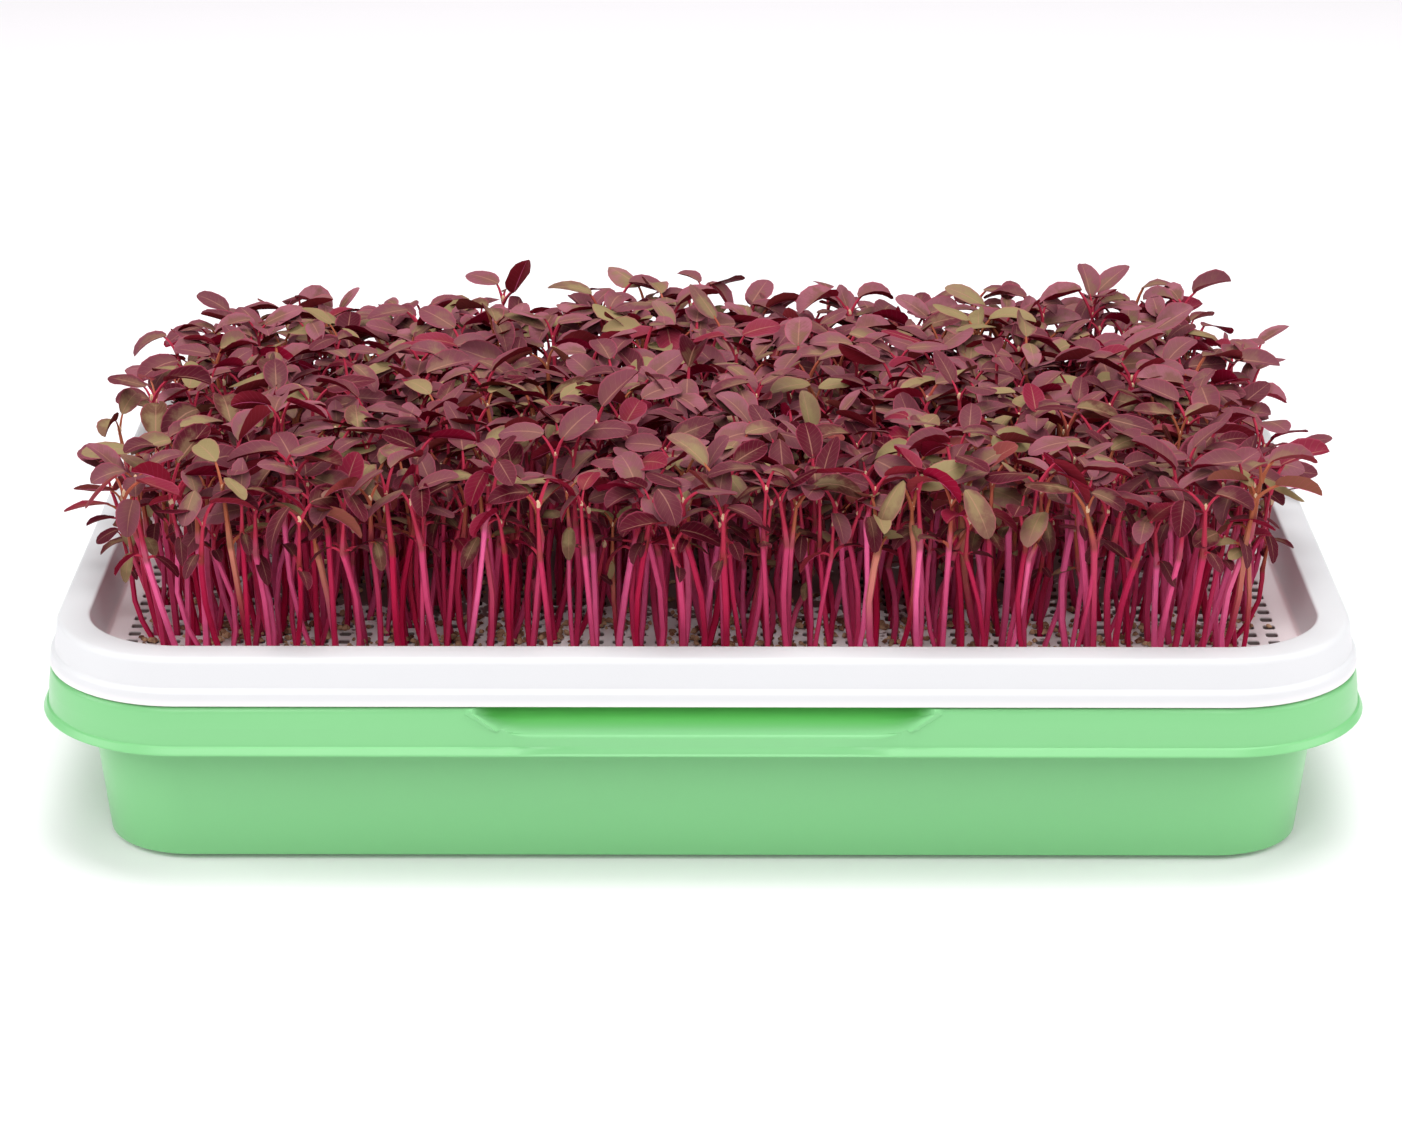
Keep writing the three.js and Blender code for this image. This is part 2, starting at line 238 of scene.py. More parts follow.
def cell_points(x, y):
    """A cell's four corners and the eight points of its hole."""
    half = HOLE_PITCH / 2
    square = [(x + sx * half, y + sy * half) for sx, sy in QUADRANTS]
    side, cut = HOLE_HALF, HOLE_HALF - HOLE_CORNER
    turn = ((side, cut), (cut, side), (-cut, side), (-side, cut),
            (-side, -cut), (-cut, -side), (cut, -side), (side, -cut))
    return square, [(x + dx, y + dy) for dx, dy in turn]


def perforated_floor(cells):
    """The holes with their walls, and the cells' faces round them on both sides of the floor."""
    points = []
    faces = []
    for x, y in cells:
        square, hole = cell_points(x, y)
        first = len(points)
        points += [(*p, FLOOR_TOP) for p in square + hole]
        points += [(*p, FLOOR_UNDERSIDE) for p in hole + square]
        top, rim, foot, under = first, first + 4, first + 12, first + 20
        for side in range(4):
            after = (side + 1) % 4
            near, far = 2 * side + 1, (2 * side + 2) % 8
            faces.append((top + side, top + after, rim + far, rim + near))
            faces.append((top + side, rim + near, rim + 2 * side))
            faces.append((under + after, under + side, foot + near, foot + far))
            faces.append((under + side, foot + 2 * side, foot + near))
        for step in range(8):
            after = (step + 1) % 8
            faces.append((rim + step, rim + after, foot + after, foot + step))
    return points, faces


def grid_outline(cells):
    """The closed outline of all cells together, as points in order."""
    half = HOLE_PITCH / 2
    links = {}
    for x, y in cells:
        corners = [(round(x + sx * half, 3), round(y + sy * half, 3))
                   for sx, sy in ((1, -1), (1, 1), (-1, 1), (-1, -1))]
        for start, end in zip(corners, corners[1:] + corners[:1]):
            if (end, start) in links:
                del links[(end, start)]
            else:
                links[(start, end)] = True
    after = dict(links.keys())
    outline = [next(iter(after))]
    while after[outline[-1]] != outline[0]:
        outline.append(after[outline[-1]])
    return outline


def floor_margin(ring, outline, height, upward):
    """The plain margin between the tray's wall and the outline of the holes."""
    outer = [(x, y, height) for x, y, _ in ring]
    inner = [(x, y, height) for x, y in outline]
    points = outer + inner
    faces = [tuple(face) for face in tessellate_polygon([outer, inner])]
    return points, faces if upward else [face[::-1] for face in faces]


def seed_tray():
    """The white upper tray: its wall and rim, its perforated floor and the margin between them."""
    profile = rounded_profile(SEED_TRAY)
    rings = [tray_ring(offset, height) for offset, height in profile]
    points, faces = loft(rings)
    points = points.tolist()
    cells = hole_cells()
    outline = grid_outline(cells)
    parts = [
        perforated_floor(cells),
        floor_margin(rings[-1], outline, FLOOR_TOP, True),
        floor_margin(rings[0], outline, FLOOR_UNDERSIDE, False),
    ]
    for more_points, more_faces in parts:
        first = len(points)
        points += more_points
        faces += [tuple(first + i for i in face) for face in more_faces]
    piece = make_mesh("seed_tray_body", points, faces)
    merge_doubles(piece)
    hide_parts("seed_tray")
    piece.data.materials.append(plastic("white_plastic_moulded", WHITE, 0.36, stained_and_painted_floor=True))
    return piece


# ------------------------------------------------------------------ materials

GREEN = (0.216, 0.563, 0.238)
# Painted shade: the deeper green of the finger recess, under the white flange.
RECESS_PAINTED_SHADE = (0.10, 0.60, 0.08)
WHITE = (0.69, 0.695, 0.71)
# Painted light: the seed tray's floor and the foot of its wall, lighter and pinker for the light the
# leaves throw down.
BED_PAINTED_LIGHT = (0.90, 0.83, 0.84)
# Leaf tops go from MAUVE_DARK to MAUVE_LIGHT by a random tone and by painted light and shade.
MAUVE_DARK = (0.06, 0.003, 0.010)
MAUVE_LIGHT = (0.305, 0.110, 0.140)
BROWN = (0.17, 0.074, 0.058)
OLIVE = (0.26, 0.20, 0.095)
CRIMSON = (0.20, 0.006, 0.028)
LEAF_UNDER = (0.30, 0.005, 0.032)
# Hull stains on the seed tray's floor, and painted shade deep in the bed under the leaves.
LITTER_AND_PAINTED_SHADE = (0.10, 0.022, 0.018)
HOLE_WALL = (0.09, 0.045, 0.035)
MIDRIB = (0.42, 0.20, 0.14)
MARGIN = (0.40, 0.06, 0.11)
STEM_PINK = (0.95, 0.165, 0.40)
STEM_DEEP = (0.40, 0.002, 0.035)
STEM_FOOT = (0.44, 0.004, 0.06)
STEM_TAN = (0.56, 0.20, 0.14)
STALK_RED = (0.42, 0.03, 0.065)
STALK_ORANGE = (0.36, 0.10, 0.05)
STEM_RING = (0.16, 0.06, 0.02)
BUD = (0.62, 0.42, 0.27)
ROOT_DARK = (0.62, 0.56, 0.46)
ROOT_LIGHT = (0.85, 0.82, 0.75)
HULL_DARK = (0.15, 0.05, 0.025)
HULL_LIGHT = (0.60, 0.38, 0.22)
WATER_TINT = (0.75, 0.86, 0.88)
FLOOR_PALE = (0.86, 0.835, 0.86)
LAMP_WHITE = (1.0, 1.0, 1.0)

# Where shade is painted into the recess as a deeper green, under the white flange: the offsets and
# the half lengths at which that begins and is complete, the height above the foot that it takes,
# and its share of the colour.
SHADE_OFFSETS = (37.0, 32.5)
SHADE_LENGTHS = (60.0, 52.0)
SHADE_RISE = 1.0
SHADE_SHARE = 0.8
# Half lengths of the floor that wet hulls stain and painted shade darkens, of its middle where
# the painted shade is densest, and of all the holes.
LITTER_AND_SHADE_BED = (141.0, 98.0)
PAINTED_SHADE_HEART = (118.0, 52.0)
HOLES_BED = (152.0, 107.0)


class Nodes:
    """A material's node tree, with short calls for the nodes that the materials use."""

    def __init__(self, name):
        self.material = bpy.data.materials.new(name)
        self.material.use_nodes = True
        self.tree = self.material.node_tree
        self.shader = self.tree.nodes["Principled BSDF"]

    def add(self, kind, **settings):
        node = self.tree.nodes.new(kind)
        for key, value in settings.items():
            setattr(node, key, value)
        return node

    def link(self, source, target):
        self.tree.links.new(source, target)

    def feed(self, socket, value):
        if isinstance(value, bpy.types.NodeSocket):
            self.link(value, socket)
        elif isinstance(value, tuple) and len(value) == 3 and socket.type == "RGBA":
            socket.default_value = (*value, 1.0)
        else:
            socket.default_value = value

    def math(self, operation, *values):
        node = self.add("ShaderNodeMath", operation=operation)
        for socket, value in zip(node.inputs, values):
            self.feed(socket, value)
        return node.outputs[0]

    def ramp(self, value, low, high):
        """0 below low, 1 above high, smooth between; low may be the larger."""
        node = self.add("ShaderNodeMapRange", interpolation_type="SMOOTHSTEP")
        self.feed(node.inputs["Value"], value)
        node.inputs["From Min"].default_value = low
        node.inputs["From Max"].default_value = high
        return node.outputs["Result"]

    def mix(self, factor, a, b):
        node = self.add("ShaderNodeMix", data_type="RGBA")
        self.feed(node.inputs["Factor"], factor)
        self.feed(node.inputs["A"], a)
        self.feed(node.inputs["B"], b)
        return node.outputs["Result"]

    def noise(self, scale, detail=3.0, roughness=0.5):
        where = self.add("ShaderNodeTexCoord").outputs["Object"]
        node = self.add("ShaderNodeTexNoise")
        self.link(where, node.inputs["Vector"])
        node.inputs["Scale"].default_value = scale
        node.inputs["Detail"].default_value = detail
        node.inputs["Roughness"].default_value = roughness
        return node.outputs["Fac"]

    def attribute(self, name):
        """The four channels of a colour attribute."""
        node = self.add("ShaderNodeAttribute", attribute_name=name)
        split = self.add("ShaderNodeSeparateColor")
        self.link(node.outputs["Color"], split.inputs["Color"])
        return *split.outputs, node.outputs["Alpha"]

    def split(self, vector):
        node = self.add("ShaderNodeSeparateXYZ")
        self.link(vector, node.inputs["Vector"])
        return node.outputs

    def within(self, half_x, half_y, fade):
        """1 inside an upright box round the origin, fading to 0 outside it."""
        x, y, _ = self.split(self.add("ShaderNodeTexCoord").outputs["Object"])
        sides = [self.ramp(self.math("ABSOLUTE", place), (half + fade) * MM, (half - fade) * MM)
                 for place, half in ((x, half_x), (y, half_y))]
        return self.math("MULTIPLY", *sides)

    def below(self, low, high):
        """1 below the lower height and 0 above the higher one."""
        height = self.split(self.add("ShaderNodeTexCoord").outputs["Object"])["Z"]
        return self.ramp(height, high * MM, low * MM)

    def bump(self, height, strength, distance):
        node = self.add("ShaderNodeBump")
        node.inputs["Strength"].default_value = strength
        node.inputs["Distance"].default_value = distance
        self.link(height, node.inputs["Height"])
        self.link(node.outputs["Normal"], self.shader.inputs["Normal"])

    def set(self, **values):
        for name, value in values.items():
            self.feed(self.shader.inputs[name.replace("_", " ")], value)


def litter_and_painted_shade(nodes):
    """Hull stains on the seed tray's floor in patches, and painted shade densest inside the bed."""
    # Painted shade: the cover is densest in the middle of the bed, under the leaves.
    inside = nodes.within(*PAINTED_SHADE_HEART, 14.0)
    patches = nodes.math("MULTIPLY_ADD", inside, 0.35, nodes.noise(260.0, 3.0))
    cover = nodes.math("MULTIPLY", nodes.ramp(patches, 0.60, 0.68), nodes.within(*LITTER_AND_SHADE_BED, 4.0))
    on_floor = nodes.below(FLOOR_TOP + 0.1, FLOOR_TOP + 0.4)
    return nodes.math("MULTIPLY", nodes.math("MULTIPLY", cover, on_floor), 0.9)


def inside_holes(nodes):
    """The walls of the holes, coloured a dark brown."""
    sunk = nodes.below(FLOOR_TOP - 0.6, FLOOR_TOP - 0.05)
    return nodes.math("MULTIPLY", nodes.math("MULTIPLY", sunk, nodes.within(*HOLES_BED, 0.5)), 0.85)


def painted_recess_shade(nodes):
    """How far back in the finger recess a point lies, where shade is painted as a deeper green."""
    x, y, z = nodes.split(nodes.add("ShaderNodeTexCoord").outputs["Object"])
    depth = nodes.ramp(nodes.math("ABSOLUTE", y), *((CORNER_Y + offset) * MM for offset in SHADE_OFFSETS))
    length = nodes.ramp(nodes.math("ABSOLUTE", x), *(half * MM for half in SHADE_LENGTHS))
    above_foot = nodes.ramp(z, SCOOP_FOOT[1] * MM, (SCOOP_FOOT[1] + SHADE_RISE) * MM)
    return nodes.math("MULTIPLY", nodes.math("MULTIPLY", depth, length), above_foot)


def plastic(name, color, roughness, stained_and_painted_floor=False, shade=None):
    """Moulded polypropylene: a faint mottle in tone and gloss and the finest of grain.

    A tray with a stained and painted floor has the seed tray's floor: lighter and pinker as painted
    light, with hull stains, painted shade deep in the bed and dark hole walls; a shade is the
    recess's painted shade, a deeper green."""
    nodes = Nodes(name)
    mottle = nodes.noise(14.0, 4.0)
    darker = tuple(channel * 0.965 for channel in color)
    tone = nodes.mix(mottle, darker, color)
    if stained_and_painted_floor:
        # Painted light: the floor and the foot of the wall are lighter and pinker, for the leaves' bounce
        # light.
        tone = nodes.mix(nodes.below(FLOOR_TOP + 0.1, FLOOR_TOP + 3.0), tone, BED_PAINTED_LIGHT)
        # Hull stains, and painted shade deep in the bed.
        tone = nodes.mix(litter_and_painted_shade(nodes), tone, LITTER_AND_PAINTED_SHADE)
        tone = nodes.mix(inside_holes(nodes), tone, HOLE_WALL)
    # Painted shade: the finger recess gets a deeper green where the flange shades it.
    if shade is not None:
        tone = nodes.mix(nodes.math("MULTIPLY", painted_recess_shade(nodes), SHADE_SHARE), tone, shade)
    nodes.set(Base_Color=tone)
    gloss = nodes.math("MULTIPLY_ADD", nodes.noise(60.0), 0.10, roughness - 0.05)
    nodes.set(Roughness=gloss, Specular_IOR_Level=0.35)
    nodes.bump(nodes.noise(2600.0, 2.0), 0.08, 0.0001)
    return nodes.material


def leaf_material(name, top):
    """A leaf's skin. The UV map runs along the blade from 0 to 1 and across it from 0 to 1."""
    nodes = Nodes(name)
    along, side, _ = nodes.split(nodes.add("ShaderNodeUVMap", uv_map="blade").outputs["UV"])
    across = nodes.math("ABSOLUTE", nodes.math("MULTIPLY_ADD", side, 2.0, -1.0))
    olive, bright, red, _ = nodes.attribute("tint")
    mottle = nodes.noise(330.0, 4.0, 0.6)

    midrib_width = nodes.math("MULTIPLY_ADD", along, -0.07, 0.10)
    midrib = nodes.ramp(nodes.math("DIVIDE", across, midrib_width), 1.0, 0.35)
    slant = nodes.math("SUBTRACT", along, nodes.math("MULTIPLY", across, 0.22))
    wave = nodes.math("FRACT", nodes.math("MULTIPLY", slant, 8.0))
    from_vein = nodes.math("ABSOLUTE", nodes.math("SUBTRACT", wave, 0.5))
    vein = nodes.ramp(from_vein, 0.09, 0.0)
    margin = nodes.ramp(across, 0.86, 1.0)

    if top:
        # Painted light and shade: the brightness between dark and light mauve holds painted shade and
        # light besides a random tone.
        body = nodes.mix(bright, MAUVE_DARK, MAUVE_LIGHT)
        near_foot = nodes.math("MULTIPLY", nodes.ramp(across, 1.0, 0.1), nodes.ramp(along, 0.9, 0.1))
        patch = nodes.ramp(nodes.math("ADD", mottle, nodes.math("MULTIPLY", near_foot, 0.5)), 0.45, 0.85)
        body = nodes.mix(nodes.math("MULTIPLY", patch, bright), body, BROWN)
        greener = nodes.math("ADD", olive, nodes.math("MULTIPLY", patch, 0.25))
        body = nodes.mix(nodes.ramp(greener, 0.25, 0.95), body, OLIVE)
        body = nodes.mix(red, body, CRIMSON)
        body = nodes.mix(nodes.math("MULTIPLY", vein, 0.10), body, MIDRIB)
        body = nodes.mix(nodes.math("MULTIPLY", midrib, 0.45), body, MIDRIB)
        body = nodes.mix(nodes.math("MULTIPLY", margin, 0.45), body, MARGIN)
        roughness = 0.48
        shine = 0.06
    else:
        # Painted light and shade: the underside is darker where the leaf's brightness is low.
        body = nodes.mix(bright, tuple(c * 0.55 for c in LEAF_UNDER), LEAF_UNDER)
        body = nodes.mix(nodes.math("MULTIPLY", olive, 0.35), body, OLIVE)
        body = nodes.mix(nodes.math("MULTIPLY", vein, 0.25), body, MARGIN)
        body = nodes.mix(nodes.math("MULTIPLY", midrib, 0.7), body, STEM_PINK)
        roughness = 0.6
        shine = 0.04
    nodes.set(Base_Color=body, Roughness=roughness, Specular_IOR_Level=shine)
    relief = nodes.math("ADD", nodes.math("MULTIPLY", mottle, 0.5), nodes.math("MULTIPLY", vein, -0.5))
    nodes.bump(relief, 0.35, 0.00025)
    return nodes.material


def stem_material(name):
    """Pink stems, crimson at the foot and tan on the olive plants; the buds are cream."""
    nodes = Nodes(name)
    olive, bright, height, bud = nodes.attribute("tint")
    streak = nodes.noise(500.0, 3.0)
    body = nodes.mix(bright, STEM_DEEP, STEM_PINK)
    body = nodes.mix(nodes.math("MULTIPLY", streak, 0.3), body, STEM_DEEP)
    body = nodes.mix(nodes.math("MULTIPLY", nodes.ramp(height, 0.5, 0.0), 0.6), body, STEM_FOOT)
    tan = nodes.math("MULTIPLY", nodes.ramp(olive, 0.3, 0.9), nodes.ramp(height, 0.3, 0.9))
    body = nodes.mix(tan, body, STEM_TAN)
    stalk = nodes.mix(nodes.ramp(olive, 0.15, 0.45), STALK_RED, STALK_ORANGE)
    body = nodes.mix(nodes.ramp(height, 0.97, 1.0), body, stalk)
    ring = nodes.math("MULTIPLY", nodes.ramp(height, 0.93, 0.97), nodes.ramp(height, 0.995, 0.97))
    body = nodes.mix(nodes.math("MULTIPLY", ring, 0.6), body, STEM_RING)
    body = nodes.mix(bud, body, BUD)
    nodes.set(Base_Color=body, Roughness=0.4, Specular_IOR_Level=0.05)
    nodes.bump(streak, 0.15, 0.0002)
    return nodes.material


def dull_material(name, dark, light, scale):
    """Roots and hulls: patches between two tones, with a rough grain four times as fine."""
    nodes = Nodes(name)
    tone = nodes.mix(nodes.ramp(nodes.noise(scale), 0.35, 0.65), dark, light)
    nodes.set(Base_Color=tone, Roughness=0.75)
    nodes.bump(nodes.noise(scale * 4), 0.3, 0.0002)
    return nodes.material


def water_material():
    nodes = Nodes("still_water")
    nodes.set(Base_Color=WATER_TINT, Roughness=0.03, Alpha=0.4, IOR=1.33)
    return nodes.material


# ------------------------------------------------------------------ plants

BED_HALF = np.array([145.0, 99.0])
PLANT_SPACING = 6.1
# How far each seedling stands from its place in an even grid, before it takes the nearest hole.
PLACE_JITTER = 2.7
# Radius of the bed's corners: front, back left and back right.
FRONT_CORNER = 14.0
BACK_LEFT_CORNER = 28.0
BACK_RIGHT_CORNER = 20.0
# Height of the node with the small leaves, in front, and how far the shoot's tip stands above it.
NODE_HEIGHT = 84.0
SHOOT_RISE = 10.0
# How much lower the canopy is at the back than in front, and at its sides than in the middle.
CANOPY_FALL = 17.0
SIDE_FALL = 3.5
# How far the outermost seedlings lean out: sideways in front, how much more so at the back, and
# to the front and the back.
SIDE_LEAN = 4.0
BACK_SIDE_LEAN = 8.0
END_LEAN = 4.5
# Spread of every seedling's own lean, and the most of it.
OWN_LEAN = 3.4
OWN_LEAN_MOST = 6.0
# How much further the leaves rise on the side away from the light in front, in radians.
TOWARD_LIGHT = 0.14
# Seedlings that came up late: their share, where they stand as shares of the bed's half depth,
# how much lower they are, their leaves' size, and how much darker their leaves are painted for
# the shade of the taller seedlings above them.
LATE_SHARE = 0.4
LATE_BAND = (-0.85, 0.6)
LATE_FALL = 10.0
LATE_SIZE = 0.66
LATE_PAINTED_SHADE = 0.2
# Painted light and shade: how fast the leaves are painted brighter towards the back and darker
# towards the front, and where they are neither brighter nor darker.
PAINTED_DEPTH_LIGHT = 0.4
DEPTH_NEUTRAL = 0.2
# Past this share of the half depth every seedling has leaves of every kind, to close the back.
SCREEN_FROM = 0.75
# Plain, brownish and olive seedlings: their shares, and how olive they are.
KIND_SHARES = (0.74, 0.19, 0.07)
KIND_OLIVE = np.array([0.06, 0.38, 0.85])
# Share of leaves that are crimson, and how much so.
CRIMSON_SHARE = 0.05
CRIMSON_TINT = 0.8
# The large leaves stand in pairs, mostly to the left and the right; the spread is in radians.
PAIR_SPREAD = 0.85
# The bed of the CAD model's bunches, which the pieces here replace row by row.
CAD_ROWS = 9
BUNCHES_IN_ROW = 6
CAD_BED_DEPTH = 202.0
CAD_ROW_DEPTH = CAD_BED_DEPTH / CAD_ROWS

# Steps along and across a blade, and sides of a stalk and of a stem.
LARGE_BLADE = (8, 4)
SMALL_BLADE = (6, 2)
STALK_SIDES = 4
STEM_SIDES = 5


def plant_places():
    """The hole that each seedling grows through, spread evenly over the bed."""
    columns, rows = np.round(2 * BED_HALF / PLANT_SPACING).astype(int) + 1
    grid_x, grid_y = np.meshgrid(np.linspace(-BED_HALF[0], BED_HALF[0], columns),
                                 np.linspace(-BED_HALF[1], BED_HALF[1], rows))
    places = np.stack([grid_x.ravel(), grid_y.ravel()], axis=1)
    places += rng.uniform(-PLACE_JITTER, PLACE_JITTER, places.shape)
    holes = np.unique(np.round(places / HOLE_PITCH).astype(int), axis=0) * HOLE_PITCH
    back = np.where(holes[:, 0] < 0, BACK_LEFT_CORNER, BACK_RIGHT_CORNER)
    corner = np.where(holes[:, 1] < 0, FRONT_CORNER, back)
    past = np.maximum(np.abs(holes) - (BED_HALF - corner[:, None]), 0)
    return holes[np.hypot(past[:, 0], past[:, 1]) < corner + 0.5]


def tubes(centres, radii, sides):
    """Tubes round many paths at once: centres (tube, ring, 3), radii (tube, ring)."""
    tube_count, ring_count = radii.shape
    along = np.gradient(centres, axis=1)
    along /= np.linalg.norm(along, axis=2, keepdims=True)
    across = np.cross(along, np.broadcast_to((0.31, 0.95, 0.02), along.shape))
    across /= np.linalg.norm(across, axis=2, keepdims=True)
    third = np.cross(along, across)
    turn = np.arange(sides) * 2 * math.pi / sides
    ring = (across[:, :, None] * np.cos(turn)[:, None] + third[:, :, None] * np.sin(turn)[:, None])
    points = centres[:, :, None] + ring * radii[:, :, None, None]
    low = (np.arange(ring_count - 1)[:, None] * sides + np.arange(sides)).ravel()
    low_next = (np.arange(ring_count - 1)[:, None] * sides + (np.arange(sides) + 1) % sides).ravel()
    quads = np.stack([low, low_next, low_next + sides, low + sides], axis=1)
    caps = [np.arange(sides)[::-1], np.arange(sides) + (ring_count - 1) * sides]
    return points.reshape(tube_count, -1, 3), quads, caps


def blade_topology(lengthwise, crosswise):
    """Faces of one closed blade: the foot and tip points, then the upper and the lower skin.

    The two skins share their edge points, so the blade is a closed, thin lens."""
    inner = lengthwise - 1
    wide = crosswise + 1
    lower_start = 2 + inner * wide

    def upper(i, j):
        return 2 + (i - 1) * wide + j

    def lower(i, j):
        if j in (0, crosswise):
            return upper(i, j)
        return lower_start + (i - 1) * (wide - 2) + (j - 1)

    top, under = [], []
    for j in range(crosswise):
        top.append((0, upper(1, j), upper(1, j + 1)))
        top.append((1, upper(inner, j + 1), upper(inner, j)))
        under.append((0, lower(1, j + 1), lower(1, j)))
        under.append((1, lower(inner, j), lower(inner, j + 1)))
        for i in range(1, inner):
            top.append((upper(i, j), upper(i + 1, j), upper(i + 1, j + 1), upper(i, j + 1)))
            under.append((lower(i, j), lower(i, j + 1), lower(i + 1, j + 1), lower(i + 1, j)))
    return top, under


def blade_points(leaf, lengthwise, crosswise):
    """Points of many blades at once, in the order of blade_topology, and their UV places."""
    count = len(leaf["length"])
    u = (1 - np.cos(np.linspace(0, math.pi, lengthwise + 1))) / 2
    v = np.linspace(-1, 1, crosswise + 1)
    full = u ** leaf["shoulder"][:, None] * (1 - u) ** leaf["taper"][:, None]
    full /= full.max(axis=1, keepdims=True)
    half = full * leaf["width"][:, None] / 2
    bend = leaf["bend"][:, None]
    slope = leaf["rise"][:, None] + bend * u
    start = leaf["rise"][:, None]
    out = leaf["length"][:, None] * (np.sin(slope) - np.sin(start)) / bend
    up = -leaf["length"][:, None] * (np.cos(slope) - np.cos(start)) / bend
    roll = (leaf["roll"][:, None] + leaf["twist"][:, None] * u)[:, :, None]
    ripple = np.sin(u * 9.0 + leaf["phase"][:, None]) * leaf["ripple"][:, None]
    side = half[:, :, None] * v
    lift = (leaf["fold"][:, None, None] * np.abs(v) ** 1.3 * half[:, :, None]
            + ripple[:, :, None] * v ** 2 * half[:, :, None])
    thick = 0.17 * np.minimum(half, 1.0)[:, :, None] * (1 - v ** 2 * 0.999)

    def place(offset):
        height = lift + offset
        sideways = side * np.cos(roll) - height * np.sin(roll)
        normal = side * np.sin(roll) + height * np.cos(roll)
        forward = out[:, :, None] - normal * np.sin(slope)[:, :, None]
        upward = up[:, :, None] + normal * np.cos(slope)[:, :, None]
        cos, sin = np.cos(leaf["azimuth"])[:, None, None], np.sin(leaf["azimuth"])[:, None, None]
        return np.stack([forward * cos - sideways * sin, forward * sin + sideways * cos, upward], axis=3)

    upper, lower = place(thick), place(-thick)
    middle = crosswise // 2
    points = np.concatenate([
        upper[:, :1, middle], upper[:, -1:, middle],
        upper[:, 1:-1].reshape(count, -1, 3), lower[:, 1:-1, 1:-1].reshape(count, -1, 3),
    ], axis=1) + leaf["root"][:, None]
    grid = np.stack(np.meshgrid(u, v / 2 + 0.5, indexing="ij"), axis=2)
    places = np.concatenate([
        [[0, 0.5], [1, 0.5]], grid[1:-1].reshape(-1, 2), grid[1:-1, 1:-1].reshape(-1, 2)])
    return points, places


def grow_plants():
    """The places, leans, heights and tints of all seedlings, as arrays with one entry a plant."""
    foot = plant_places()
    count = len(foot)
    edge = np.clip(foot / BED_HALF, -1, 1)
    fall = CANOPY_FALL * ((edge[:, 1] + 1) / 2) ** 0.8 + SIDE_FALL * edge[:, 0] ** 8
    spread = np.column_stack([SIDE_LEAN + BACK_SIDE_LEAN * (edge[:, 1] + 1) / 2, np.full(count, END_LEAN)])
    own_lean = np.clip(rng.normal(0, OWN_LEAN, (count, 2)), -OWN_LEAN_MOST, OWN_LEAN_MOST)
    lean = edge ** 5 * spread + own_lean
    vigour = np.clip(rng.normal(0, 1, count), -1.8, 1.8)
    in_band = (edge[:, 1] > LATE_BAND[0]) & (edge[:, 1] < LATE_BAND[1])
    late = (rng.uniform(0, 1, count) < LATE_SHARE) & in_band
    node_z = NODE_HEIGHT - fall + vigour * 3.0 - late * LATE_FALL
    node = np.column_stack([foot + lean, node_z])
    bow = rng.normal(0, 1.2, (count, 2))
    shoot_rise = np.clip(rng.normal(SHOOT_RISE, 3.0, count), 4.0, 15.0)
    tip = node + np.column_stack([lean * 0.15 + rng.normal(0, 1.0, (count, 2)), shoot_rise])
    kind = rng.choice(len(KIND_SHARES), count, p=KIND_SHARES)
    olive = KIND_OLIVE[kind] + rng.uniform(-0.06, 0.12, count)
    vivid = rng.uniform(0, 1, count)
    return {
        "foot": foot, "node": node, "tip": tip, "bow": bow,
        "olive": np.clip(olive, 0, 1),
        "size": np.where(late, LATE_SIZE, 1.0),
        # Painted light and shade: brighter towards the back, darker in front.
        "bright": np.clip(vivid + PAINTED_DEPTH_LIGHT * (edge[:, 1] - DEPTH_NEUTRAL), 0, 1),
        "vivid": vivid,
        "screen": edge[:, 1] > SCREEN_FROM,
        "shaded": np.where(late, LATE_PAINTED_SHADE, 1.0),
        "azimuth": rng.normal(math.pi / 2, PAIR_SPREAD, count),
        "row": np.clip(((foot[:, 1] + CAD_BED_DEPTH / 2) / CAD_ROW_DEPTH).astype(int), 0, CAD_ROWS - 1),
    }


# The least and the largest radius of a stem, and for each of its rings its share of that radius
# and the height that its colour goes by.
STEM_RADIUS = (0.62, 0.96)
STEM_TAPER = np.array([0.7, 1.0, 1.02, 0.98, 0.97, 1.08, 0.72, 0.55])
STEM_HEIGHTS = [0.0, 0.05, 0.35, 0.65, 0.88, 0.97, 1.0, 1.0]


def stem_paths(plants):
    """Rings' centres from the roots up through the hole to the leaf node and the shoot's tip."""
    foot = plants["foot"]
    base = np.column_stack([foot, np.full(len(foot), FLOOR_UNDERSIDE - 1.0)])
    neck = np.column_stack([foot, np.full(len(foot), FLOOR_TOP + 0.3)])
    rings = [base, neck]
    for t in (0.3, 0.6, 0.88):
        point = neck * (1 - t) + plants["node"] * t
        point[:, :2] += plants["bow"] * math.sin(math.pi * t)
        rings.append(point)
    rings += [plants["node"], plants["node"] * 0.5 + plants["tip"] * 0.5, plants["tip"]]
    centres = np.stack(rings, axis=1)
    thick = rng.uniform(*STEM_RADIUS, (len(foot), 1))
    return centres, thick * STEM_TAPER


# How far a blade's foot lies back along its stalk, and the stalk's radii from stem to blade.
STALK_OVERLAP = 1.0
STALK_RADII = np.array([0.56, 0.44, 0.38, 0.32])

